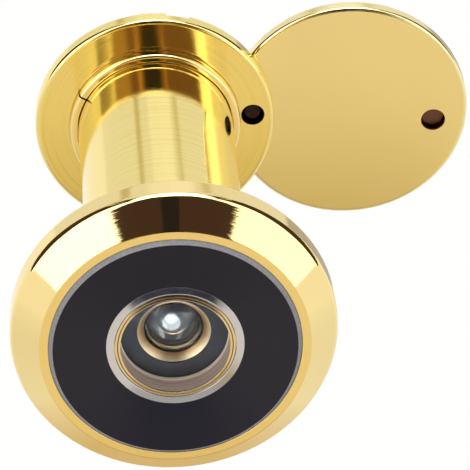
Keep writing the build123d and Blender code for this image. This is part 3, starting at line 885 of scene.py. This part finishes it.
slot_floor, rivet_floor = FLANGE_BACK - SLOT_DEPTH, FLANGE_FRONT + RIVET_RECESS_DEPTH
carve(sleeve, [
    bar("coin_slot", SLOT_LENGTH, SLOT_WIDTH, slot_floor, FLANGE_BACK + OVERSHOOT, SLOT_ANGLE),
    drill("pivot_recess", RIVET_RECESS, FLANGE_FRONT - OVERSHOOT, rivet_floor, PIVOT),
    drill("pivot_hole", RIVET_HOLE, FLANGE_FRONT, FLANGE_BACK + OVERSHOOT, PIVOT),
])
dress(sleeve, "indoor_sleeve", "indoor_half", gilt_barrel)

# %% [markdown]
# ## The split collar
#
# The collar is a ring that isn't quite closed. A cutter could open a whole ring, but here the
# same outline is carried round from one side of the gap to the other, and each end gets a face
# of its own, so that the gap is exactly as wide as it should be.

# %% Split collar
COLLAR_BORE, COLLAR_FRONT, COLLAR_BACK, COLLAR_MIDDLE = 7.05, 31.1, 32.05, 7.4
SPLIT_ANGLE, SPLIT_WIDTH = 154.0, 0.18

collar_outline = outline([
    (COLLAR_BORE, COLLAR_FRONT, 0.08), (COLLAR_RADIUS, COLLAR_FRONT, 0.32),
    (COLLAR_RADIUS, COLLAR_BACK, 0), (COLLAR_BORE, COLLAR_BACK, 0),
])
half_gap = SPLIT_WIDTH / 2 / COLLAR_MIDDLE
start = math.radians(SPLIT_ANGLE) + half_gap
angles = np.linspace(start, start + 2 * (math.pi - half_gap), SEGMENTS + 1)[:, None]
radii, places = collar_outline.T
collar_points = np.stack([radii * np.cos(angles), places + 0 * angles, radii * np.sin(angles)], -1)
index = np.arange(len(angles) * len(radii)).reshape(len(angles), len(radii))
sides = np.stack([index[:-1], np.roll(index[:-1], -1, 1), np.roll(index[1:], -1, 1), index[1:]], -1)
collar = mesh_object("split_collar", collar_points.reshape(-1, 3),
                     [sides.reshape(-1, 4), index[0][None, ::-1], index[-1][None]])
dress(collar, "collar_ring", "collar", gilt_mirror)

# %% [markdown]
# ## The privacy cover
#
# A flat disc with softly rounded edges. It could be a cylinder with a Bevel modifier, but the
# turned outline gives it the same clean rim as the flange. Two holes go through it: one for the
# pivot, and one for the shank of the finger stud, which stops short and leaves the small recess
# that the photograph shows.

# %% Privacy cover
COVER_FLAT, COVER_ROUNDING = 6.0, 0.3
COVER_PIVOT_BORE, STUD_HOLE = 0.75, 1.10

cover = turned("cover_disc", outline([
    (0, COVER_FRONT, 0), (COVER_FLAT, COVER_FRONT, 0), (FLANGE_RADIUS, COVER_FRONT, COVER_ROUNDING),
    (FLANGE_RADIUS, COVER_BACK, COVER_ROUNDING), (COVER_FLAT, COVER_BACK, 0), (0, COVER_BACK, 0),
], closed=False), COVER_CENTRE, closed=False, segments=FINE_SEGMENTS)
carve(cover, [
    drill("cover_pivot_bore", COVER_PIVOT_BORE, COVER_FRONT - OVERSHOOT, COVER_BACK + OVERSHOOT, PIVOT),
    drill("stud_bore", STUD_HOLE, COVER_FRONT - OVERSHOOT, COVER_BACK + OVERSHOOT, STUD),
])
dress(cover, "privacy_cover", "cover", gilt_satin)

# %% [markdown]
# ## The pivot rivet
#
# The cover turns on a steel rivet. Its tail is spread in the flange's recess, and its domed head
# is on the room side. The head could be half of a flattened UV sphere, but a real one is a cap of
# a true sphere, whose radius follows from the cap's width w, counted from the axis, and its
# height h as (w^2 + h^2) / 2h.

# %% Pivot rivet
RIVET_SHANK, RIVET_TAIL, TAIL_HEIGHT = 0.7, 1.0, 0.4
RIVET_HEAD, HEAD_HEIGHT = 1.7, 0.8

rivet_front, rivet_back = ends_of("pivot_rivet")
head_base, tail_base = rivet_back - HEAD_HEIGHT, rivet_front + TAIL_HEIGHT
head_sphere = (RIVET_HEAD**2 + HEAD_HEIGHT**2) / (2 * HEAD_HEIGHT)
rivet = turned("rivet", np.vstack([
    outline([(0, rivet_front, 0), (RIVET_SHANK, rivet_front, 0.08), (RIVET_TAIL, tail_base, 0.03),
             (RIVET_SHANK, tail_base, 0), (RIVET_SHANK, head_base, 0), (RIVET_HEAD, head_base, 0)],
            closed=False)[:-1],
    cap(head_sphere, RIVET_HEAD, rivet_back, -1, outwards=False),
]), PIVOT, closed=False, segments=COARSE_SEGMENTS)
dress(rivet, "pivot_rivet", "indoor_half", browned_steel)

# %% [markdown]
# ## The finger stud
#
# A small knob on the room side swings the cover. Knob, neck and shank are turned as one piece, so
# they are one outline here, and not three cylinders pushed into each other.

# %% Finger stud
STUD_SHANK, STUD_NECK, STUD_KNOB = 1.08, 1.3, 1.9
STUD_SEGMENTS = 96

stud_front, stud_back = ends_of("finger_stud")
neck_front, knob_front = COVER_BACK + 0.02, COVER_BACK + 0.72
stud = turned("stud_knob", outline([
    (0, stud_front, 0), (STUD_SHANK, stud_front, 0.14), (STUD_SHANK, neck_front, 0),
    (STUD_NECK, neck_front, 0), (STUD_NECK, knob_front, 0.1), (STUD_KNOB, knob_front, 0.12),
    (STUD_KNOB, stud_back, 0.5), (0, stud_back, 0),
], closed=False), STUD, closed=False, segments=STUD_SEGMENTS)
dress(stud, "finger_stud", "cover", gilt_knob)

# %% [markdown]
# ## The studio
#
# Polished metal shows its surroundings, so the studio is designed as carefully as the object. Each
# gold facet tells where the real studio was bright or dark: the bevel mirrors the sides and the
# front, the barrel mirrors what stands behind it, and the cover mirrors the table in front. The
# floor itself is plain. The coloured cards could lie on it, but they would show from other
# sides, so they are painted on a sheet just above it that the camera doesn't see.

# %% Floor, and the sheet for the cards
FLOOR_DROP, CARDS_LIFT = 120.0, 0.5
EVERYWHERE = (-10000.0, 10000.0)
PAPER = (0.84, 0.84, 0.84)


def matt_paint(name):
    """A paper white with no sheen at all."""
    made, tree, shader = new_material(name)
    set_inputs(tree, shader, Base_Color=PAPER, Roughness=1.0, Specular_IOR_Level=0.0)
    return made, tree, shader


def level_sheet(name, height, across, away):
    """A flat sheet at this height, between two limits across and two limits away."""
    (left, right), (near, far) = across, away
    corners = [[left, near, height], [right, near, height], [right, far, height], [left, far, height]]
    return mesh_object(name, np.array(corners), [np.array([[0, 1, 2, 3]])])


floor = level_sheet("floor", -FLOOR_DROP, EVERYWHERE, EVERYWHERE)
floor.data.materials.append(matt_paint("pale_floor")[0])
cards = level_sheet("studio_cards", CARDS_LIFT - FLOOR_DROP, EVERYWHERE, EVERYWHERE)
cards.visible_camera = cards.visible_diffuse = cards.visible_shadow = False
print("the floor is plain, and the cards show only in what the metal and the glass mirror")

# %% [markdown]
# ## The cards
#
# The paper round the object is a little greyer in front. On it lie a cream cloth, darker with
# painted shade at its near right, a grey zone of painted shade on the cloth just in front of the
# object, a warm shade under the object, a grey card behind it to the right, and the table's dark
# edge in front. Each could be a mesh, but as zones on one sheet they get soft edges, and a number
# moves them.

# %% Paint the cards, with limits as (low, high, soft edge) in millimetres
FRONT_PAPER, RIGHT_GREY = (0.69, 0.695, 0.70), (0.40, 0.40, 0.42)
# The darker near part of the cloth and the grey in front of the object are painted shade.
SHADED_CLOTH, FAR_CLOTH = (0.42, 0.32, 0.13), (0.72, 0.63, 0.45)
WARM_SHADE, EDGE_DARK, FRONT_SHADE_GREY = (0.58, 0.465, 0.28), (0.03, 0.03, 0.034), (0.42, 0.385, 0.30)
CARD_LIMITS = {"away": (90, 9000, 30), "right": (80, 9000, 20), "slant": (0.21, 0.70, 0.04)}
CLOTH_LIMITS = {"aside": (-1, 90, 60), "away": (-330, -110, 60)}
TABLE_EDGE_LIMITS = {"away": (-2500, -292, 10), "slant": (-0.14, 0.30, 0.04)}
FRONT_SHADE_LIMITS = {"aside": (-1, 60, 15), "away": (-119, -20, 6)}
CLOTH_SHADE_AWAY, CLOTH_SHADE_RIGHT = (-128.0, -172.0), (-2, 46, 14)
GREYER_AWAY, GREYER_ASIDE, LEAST_GREYER = (-30.0, 150.0), (170.0, 420.0), 0.15
SHADE_MIDDLE, SHADE_FULL, SHADE_GONE = 50.0, 25.0, 85.0


def paint_cards(sheet):
    """Lay the cards' colours over each other by place: right is to the right of the middle, away
    is beyond it, aside is either way, and slant is how far right for each step away."""
    made, tree, shader = matt_paint("studio_cards")
    sheet.data.materials.append(made)
    right, away, _ = object_millimetres(tree)
    aside = maths(tree, "ABSOLUTE", right)
    slant = maths(tree, "DIVIDE", right, maths(tree, "ADD", maths(tree, "ABSOLUTE", away), 1.0))
    places = {"right": right, "away": away, "aside": aside, "slant": slant}

    def zone(limits):
        """1 where every place is within its limits: the product of one band for each of them."""
        return times(tree, *[band(tree, places[key], *limit) for key, limit in limits.items()])

    greyer = times(tree, spread(tree, away, *GREYER_AWAY, 1.0, 0.0),
                   spread(tree, aside, *GREYER_ASIDE, 1.0, LEAST_GREYER))
    # The cloth's near part, on the right, is darker: painted shade.
    near = times(tree, spread(tree, away, *CLOTH_SHADE_AWAY, 1.0, 0.0),
                 band(tree, right, *CLOTH_SHADE_RIGHT))
    cloth = lay_on(tree, near, FAR_CLOTH, SHADED_CLOTH)
    from_shade = reach(tree, right, maths(tree, "SUBTRACT", away, SHADE_MIDDLE))
    shade = spread(tree, from_shade, SHADE_FULL, SHADE_GONE, 1.0, 0.0)
    paint = lay_on(tree, greyer, PAPER, FRONT_PAPER)
    # The warm shade and the grey zone in front of the object are painted shade.
    for share, colour in (
            (zone(CARD_LIMITS), RIGHT_GREY), (zone(CLOTH_LIMITS), cloth), (shade, WARM_SHADE),
            (zone(TABLE_EDGE_LIMITS), EDGE_DARK), (zone(FRONT_SHADE_LIMITS), FRONT_SHADE_GREY)):
        paint = lay_on(tree, share, paint, colour)
    set_inputs(tree, shader, Base_Color=paint)


paint_cards(cards)
print("cards painted")

# %% [markdown]
# ## The light tent
#
# Softboxes and flags could stand round the object as glowing and black boards. The lights here
# are painted on the world instead, which is mirrored in the same way and can't cast a shadow by
# mistake. Each panel is given by azimuth and elevation as seen from the object. Azimuth is
# counted from the front, with the right positive, and each panel lies over the ones before it.

# %% Light panels, as (name, azimuths, elevations, softness, colour)
TENT, TOP_LIGHT, TOP_FROM, TOP_FULL = (0.86, 0.86, 0.86), (4.9, 4.9, 4.9), 60.0, 76.0
BACK_HEIGHTS, BACK_SOFT = (4, 61), 3
PANELS = (
    ("back_strip", (171, 181), BACK_HEIGHTS, 3, (1.0, 1.0, 1.02)),
    ("back_strip_left", (-181, -173), BACK_HEIGHTS, 4, (0.98, 0.98, 1.0)),
    ("right_flag", (80, 140), (-5, 66), 2, (0.06, 0.04, 0.03)),
    ("left_flag", (-140, -80), (-5, 66), 2, (0.06, 0.035, 0.025)),
    ("left_softbox", (-78, -33), (-5, 62), 2, (2.5, 2.5, 2.5)),
    ("right_softbox", (20, 80), (-5, 62), 2, (1.85, 1.85, 1.85)),
    ("right_low_light", (22, 46), (-9, 9), 3, (1.9, 1.9, 1.8)),
    ("dark_top", (-40, 43.5), (37, 74), 1.5, (0.060, 0.034, 0.030)),
    ("dark_middle", (-30, 37), (10, 38), 1.5, (0.17, 0.095, 0.070)),
    ("left_brown", (-28, -20.5), (13, 38), 1.5, (0.40, 0.26, 0.15)),
    ("left_bright", (-29, -26), (-12, 13), 1.0, (1.15, 1.1, 0.95)),
    ("left_edge", (-34, -29.8), (-11, 13), 1.0, (0.15, 0.10, 0.06)),
    ("dark_column", (-18, 15), (-5, 10), 1.5, (0.05, 0.035, 0.035)),
    ("black_stripe", (-8.5, 4.5), (8, 74), 1.5, (0.022, 0.018, 0.022)),
    ("left_glint", (-13.3, -11.7), (8, 44), 0.6, (0.62, 0.34, 0.16)),
    ("right_glint", (8.6, 10.0), (8, 44), 0.6, (0.42, 0.22, 0.12)),
)
print(len(PANELS), "upright panels planned")

# %% [markdown]
# ## Two slanted panels
#
# The barrel shows two soft dips that lean. A panel leans when its azimuth is moved by a slope
# times the elevation's distance from its middle, which is simpler than turning a board.

# %% Hang the panels, the slanted ones as (name, azimuths, middle, slope, softness, colour)
SLANTED_PANELS = (
    ("right_back_dip", (163.0, 166.0), 28.5, 1.5, 2.5, (0.68, 0.64, 0.46)),
    ("left_back_dip", (-167.5, -164.0), 24.0, -1.5, 3.0, (0.62, 0.55, 0.38)),
)


def azimuth_of(tree, x, y):
    """Degrees round the object from the front, with the right positive."""
    return maths(tree, "DEGREES", maths(tree, "ARCTAN2", x, times(tree, y, -1.0)))


def build_tent():
    """World light as a function of direction, in degrees of azimuth and elevation."""
    world = bpy.data.worlds.new("light_tent")
    world.use_nodes = True
    bpy.context.scene.world = world
    tree = world.node_tree
    x, y, z = parts_of(tree, tree.nodes.new("ShaderNodeTexCoord").outputs["Generated"])
    azimuth = azimuth_of(tree, x, y)
    elevation = maths(tree, "DEGREES", maths(tree, "ARCSINE", z))
    light = lay_on(tree, spread(tree, elevation, TOP_FROM, TOP_FULL, 0.0, 1.0), TENT, TOP_LIGHT)
    for _, sides, heights, soft, colour in PANELS:
        share = times(tree, band(tree, azimuth, *sides, soft), band(tree, elevation, *heights, soft))
        light = lay_on(tree, share, light, colour)
    for _, sides, middle, slope, soft, colour in SLANTED_PANELS:
        lean = times(tree, maths(tree, "SUBTRACT", elevation, middle), slope)
        share = times(tree, band(tree, maths(tree, "ADD", azimuth, lean), *sides, soft),
                      band(tree, elevation, *BACK_HEIGHTS, BACK_SOFT))
        light = lay_on(tree, share, light, colour)
    set_inputs(tree, tree.nodes["Background"], Color=light, Strength=1.0)


build_tent()
print(len(PANELS) + len(SLANTED_PANELS), "panels laid over the tent")

# %% [markdown]
# ## The lamp in the lenses
#
# A round bright spot stands in the dome. A panel of the tent could make it, but it would show in
# the gold as well. So it is a small lamp, and Blender's ray visibility hides it from everything
# but light that has come through glass.

# %% Small round lamp
LAMP_CENTRE, LAMP_PLACE, LAMP_SIDES = (-3.8, -12.6), -60.0, 64
LAMP_RADIUS, LAMP_RIM, LAMP_SOFT = 22.0, 34.0, 0.4
LAMP_LIGHT, RIM_LIGHT = 7.8, 1.8


def glowing(name, strength_of):
    """A material that only gives light, as strongly as strength_of(tree) says."""
    made, tree, _ = new_material(name)
    tree.nodes.clear()
    glow = node(tree, "ShaderNodeEmission", Strength=strength_of(tree))
    node(tree, "ShaderNodeOutputMaterial", Surface=glow.outputs[0])
    return made


def lamp_strength(tree):
    """A bright face with a grey rim that fades outwards, by the distance from the lamp's middle."""
    distance, _, _ = turning_coordinates(tree, LAMP_CENTRE)
    rim = spread(tree, distance, LAMP_RADIUS, LAMP_RIM, RIM_LIGHT, 0.0)
    face = spread(tree, distance, LAMP_RADIUS - LAMP_SOFT, LAMP_RADIUS, LAMP_LIGHT, 0.0)
    return maths(tree, "MAXIMUM", rim, face)


def show_only_through_glass(thing):
    """Light for the lenses alone: nothing but light that has passed through glass meets it."""
    thing.visible_camera = thing.visible_diffuse = thing.visible_glossy = thing.visible_shadow = False
    print(thing.name, "shows only to light that comes through glass:", thing.visible_transmission)


lamp_angles = np.linspace(0, 2 * math.pi, LAMP_SIDES, endpoint=False)
lamp_rim = np.stack([LAMP_CENTRE[0] + LAMP_RIM * np.cos(lamp_angles), np.full(LAMP_SIDES, LAMP_PLACE),
                     LAMP_CENTRE[1] + LAMP_RIM * np.sin(lamp_angles)], 1)
lamp = mesh_object("round_lamp", lamp_rim, [np.arange(LAMP_SIDES)[None]])
lamp.data.materials.append(glowing("lamp_face", lamp_strength))
show_only_through_glass(lamp)

# %% [markdown]
# ## Bright strips for the lenses
#
# Under the spot the dome shows two pale legs that spread downwards. Strips of table that run away
# from the object at fixed azimuths spread as the legs do, and they too are hidden from all but the
# glass.

# %% Bright strips on the table, as (from, to, softness, light) with azimuths in degrees
STRIP_HEIGHT, STRIPS_ACROSS, STRIPS_AWAY = -118.0, (-320.0, 320.0), (-330.0, -40.0)
TABLE_GLOW = 0.9
STRIPS = ((-31, -20, 2, 5.0), (-46, -31, 5, 1.6), (14, 24, 3, 2.4), (44, 62, 3, 1.4))


def strip_strength(tree):
    """Glow by azimuth round the object, and never less than the table's own."""
    x, y, _ = object_millimetres(tree)
    azimuth, strength = azimuth_of(tree, x, y), TABLE_GLOW
    for low, high, soft, light in STRIPS:
        strip = times(tree, band(tree, azimuth, low, high, soft), light)
        strength = maths(tree, "MAXIMUM", strip, strength)
    return strength


strip_sheet = level_sheet("strip_sheet", STRIP_HEIGHT, STRIPS_ACROSS, STRIPS_AWAY)
strip_sheet.data.materials.append(glowing("strip_light", strip_strength))
show_only_through_glass(strip_sheet)

# %% [markdown]
# ## Colours
#
# Blender's usual view rolls bright colours off like film. A product photograph is plainer, so the
# Standard view is used.

# %% The Standard view
bpy.context.scene.view_settings.view_transform = "Standard"
bpy.context.scene.view_settings.look = "None"
